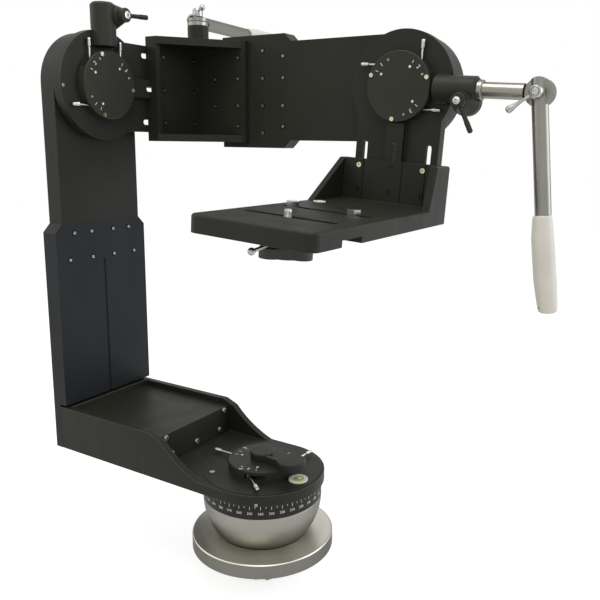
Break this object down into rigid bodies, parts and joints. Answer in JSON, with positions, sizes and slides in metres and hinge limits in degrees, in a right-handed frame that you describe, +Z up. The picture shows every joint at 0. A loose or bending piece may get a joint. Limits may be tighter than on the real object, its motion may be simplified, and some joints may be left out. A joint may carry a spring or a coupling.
{
  "type": "fluid video head",
  "caption": "Three-axis fluid camera head: half ball in a bowl flange, pan base, sleeved arms with roll and tilt drag units, slotted platform, handles.",
  "frame": {"origin": "on the pan axis at the underside of the bowl flange", "axes": "+Z up along the pan axis, +X from the column towards the pan axis, +Y towards the tilt arm"},
  "size_m": [0.6162, 0.6083, 0.7513],
  "materials": {
    "black_anodised": "satin black anodised, slightly warm",
    "blue_black_anodised": "satin black anodised, slightly blue",
    "satin_aluminium": "fine turned satin",
    "steel": "plain machined",
    "bright_steel": "polished",
    "pale_brass": "satin",
    "cream_grip": "smooth moulded",
    "level": "clear gloss over a cream ring",
    "black_knob": "moulded"
  },
  "bodies": {
    "base": {"bowl_flange": "satin_aluminium"},
    "ball": {"half_ball": "satin_aluminium", "scale_ring": "black_anodised", "pan_spindle": "steel", "pan_drag_discs": "steel"},
    "tie_down": {"tie_down": "black_knob"},
    "pan": {"pan_housing": "black_anodised", "pan_plate": "black_anodised", "pan_bearing": "steel", "lower_arm": "black_anodised", "arm_cover": "blue_black_anodised", "pan_screws": "steel", "column_sleeve": "blue_black_anodised", "column_arm": "black_anodised", "roll_bearing": "steel", "pan_dial": "black_anodised", "pan_level": "level"},
    "pan_lever_a": {"pan_lever_a": "bright_steel"},
    "pan_lever_b": {"pan_lever_b": "bright_steel"},
    "pan_lever_c": {"pan_lever_c": "bright_steel"},
    "pan_lock": {"pan_lock": "black_anodised"},
    "roll": {"roll_plate": "black_anodised", "roll_shaft": "steel", "roll_drag_discs": "steel", "roll_dial": "black_anodised", "roll_screws": "pale_brass", "roll_socket": "black_anodised"},
    "roll_clamp": {"roll_clamp": "black_knob"},
    "roll_lever_a": {"roll_lever_a": "bright_steel"},
    "roll_lever_b": {"roll_lever_b": "bright_steel"},
    "roll_lever_c": {"roll_lever_c": "bright_steel"},
    "roll_arm": {"corner_bracket": "black_anodised", "bracket_screws": "steel", "tilt_sleeve": "blue_black_anodised", "tilt_arm": "black_anodised", "tilt_bearing": "steel", "rear_post": "black_anodised", "rear_eye": "satin_aluminium"},
    "rear_handle": {"rear_tube": "satin_aluminium", "rear_grip": "cream_grip"},
    "rear_clamp": {"rear_clamp": "bright_steel"},
    "tilt": {"tilt_plate": "black_anodised", "tilt_shaft": "steel", "tilt_drag_discs": "steel", "tilt_dial": "black_anodised", "tilt_screws": "pale_brass", "tilt_socket": "black_anodised"},
    "tilt_clamp": {"tilt_clamp": "black_knob"},
    "tilt_lever_a": {"tilt_lever_a": "bright_steel"},
    "tilt_lever_b": {"tilt_lever_b": "bright_steel"},
    "tilt_lever_c": {"tilt_lever_c": "bright_steel"},
    "front_bar": {"front_bar": "satin_aluminium"},
    "front_handle": {"front_tube": "satin_aluminium", "front_grip": "cream_grip"},
    "front_clamp": {"front_clamp": "bright_steel"},
    "platform": {"platform": "black_anodised", "platform_bolts": "steel", "platform_level": "level"},
    "camera_screw": {"camera_screw": "black_knob"},
    "camera_lever": {"camera_lever": "bright_steel"}
  },
  "joints": [
    {"name": "level", "type": "hinge", "parent": "base", "child": "ball", "pos_m": [0, 0, 0.068], "axis": [1, 0, 0], "range_deg": [-5, 5]},
    {"name": "tie_down_turn", "type": "hinge", "parent": "ball", "child": "tie_down", "pos_m": [0, 0, -0.02], "axis": [0, 0, 1], "continuous": true},
    {"name": "pan_turn", "type": "hinge", "parent": "ball", "child": "pan", "pos_m": [0, 0, 0.094], "axis": [0, 0, 1], "continuous": true},
    {"name": "pan_lock_swing", "type": "hinge", "parent": "pan", "child": "pan_lock", "pos_m": [0, 0, 0.1128], "axis": [0, 0, 1], "range_deg": [-40, 40]},
    {"name": "roll_turn", "type": "hinge", "parent": "pan", "child": "roll", "pos_m": [-0.262, 0, 0.5745], "axis": [1, 0, 0], "range_deg": [-60, 120]},
    {"name": "roll_balance", "type": "slide", "parent": "roll", "child": "roll_arm", "axis": [0, 1, 0], "range_m": [-0.004, 0.011]},
    {"name": "tilt_turn", "type": "hinge", "parent": "roll_arm", "child": "tilt", "pos_m": [0.0985, 0.1694, 0.5745], "axis": [0, 1, 0], "range_deg": [-90, 90]},
    {"name": "platform_balance", "type": "slide", "parent": "tilt", "child": "platform", "axis": [0.061, 0, 0.9981], "range_m": [-0.014, 0.024]},
    {"name": "camera_screw_turn", "type": "hinge", "parent": "platform", "child": "camera_screw", "pos_m": [0.08767, -0.075, 0.43019], "axis": [0.061, 0, 0.9981], "continuous": true},
    {"name": "camera_lever_swing", "type": "hinge", "parent": "platform", "child": "camera_lever", "pos_m": [0.08628, -0.075, 0.40753], "axis": [0.061, 0, 0.9981], "range_deg": [-80, 80]},
    {"name": "front_bar_slide", "type": "slide", "parent": "tilt", "child": "front_bar", "axis": [0.9981, 0, -0.061], "range_m": [0, 0.015]},
    {"name": "front_handle_swing", "type": "hinge", "parent": "front_bar", "child": "front_handle", "pos_m": [0.27268, 0.1534, 0.56385], "axis": [0, 1, 0], "range_deg": [-110, 20]},
    {"name": "front_clamp_swing", "type": "hinge", "parent": "front_bar", "child": "front_clamp", "pos_m": [0.27268, 0.1431, 0.56385], "axis": [0, -1, 0], "range_deg": [-10, 40]},
    {"name": "rear_handle_swing", "type": "hinge", "parent": "roll_arm", "child": "rear_handle", "pos_m": [-0.2714, 0.2074, 0.689], "axis": [0, 0, 1], "range_deg": [-70, 90]},
    {"name": "rear_clamp_swing", "type": "hinge", "parent": "roll_arm", "child": "rear_clamp", "pos_m": [-0.2714, 0.2074, 0.699], "axis": [0, 0, 1], "range_deg": [-35, 35]},
    {"name": "roll_clamp_swing", "type": "hinge", "parent": "roll", "child": "roll_clamp", "pos_m": [-0.2277, 0.014, 0.662], "axis": [1, 0, 0], "range_deg": [-35, 25]},
    {"name": "tilt_clamp_swing", "type": "hinge", "parent": "tilt", "child": "tilt_clamp", "pos_m": [0.18498, 0.1351, 0.55518], "axis": [0, -1, 0], "range_deg": [-35, 25]},
    {"name": "pan_drag_a", "type": "hinge", "parent": "pan", "child": "pan_lever_a", "pos_m": [-0.0368, 0, 0.1055], "axis": [0, 0, 1], "range_deg": [-60, 0]},
    {"name": "pan_drag_b", "type": "hinge", "parent": "pan", "child": "pan_lever_b", "pos_m": [0.029, 0.02266, 0.1055], "axis": [0, 0, 1], "range_deg": [-55, 5]},
    {"name": "pan_drag_c", "type": "hinge", "parent": "pan", "child": "pan_lever_c", "pos_m": [0.00449, -0.03653, 0.1055], "axis": [0, 0, 1], "range_deg": [-23, 37]},
    {"name": "roll_drag_a", "type": "hinge", "parent": "roll", "child": "roll_lever_a", "pos_m": [-0.2509, -0.02602, 0.54848], "axis": [1, 0, 0], "range_deg": [0, 90]},
    {"name": "roll_drag_b", "type": "hinge", "parent": "roll", "child": "roll_lever_b", "pos_m": [-0.2509, -0.02602, 0.60052], "axis": [1, 0, 0], "range_deg": [0, 90]},
    {"name": "roll_drag_c", "type": "hinge", "parent": "roll", "child": "roll_lever_c", "pos_m": [-0.2509, 0.02602, 0.60052], "axis": [1, 0, 0], "range_deg": [-90, 0]},
    {"name": "tilt_drag_a", "type": "hinge", "parent": "tilt", "child": "tilt_lever_a", "pos_m": [0.07412, 0.1583, 0.60206], "axis": [0, -1, 0], "range_deg": [-90, 0]},
    {"name": "tilt_drag_b", "type": "hinge", "parent": "tilt", "child": "tilt_lever_b", "pos_m": [0.12606, 0.1583, 0.59888], "axis": [0, -1, 0], "range_deg": [-90, 0]},
    {"name": "tilt_drag_c", "type": "hinge", "parent": "tilt", "child": "tilt_lever_c", "pos_m": [0.12288, 0.1583, 0.54694], "axis": [0, -1, 0], "range_deg": [-90, 0]}
  ]
}
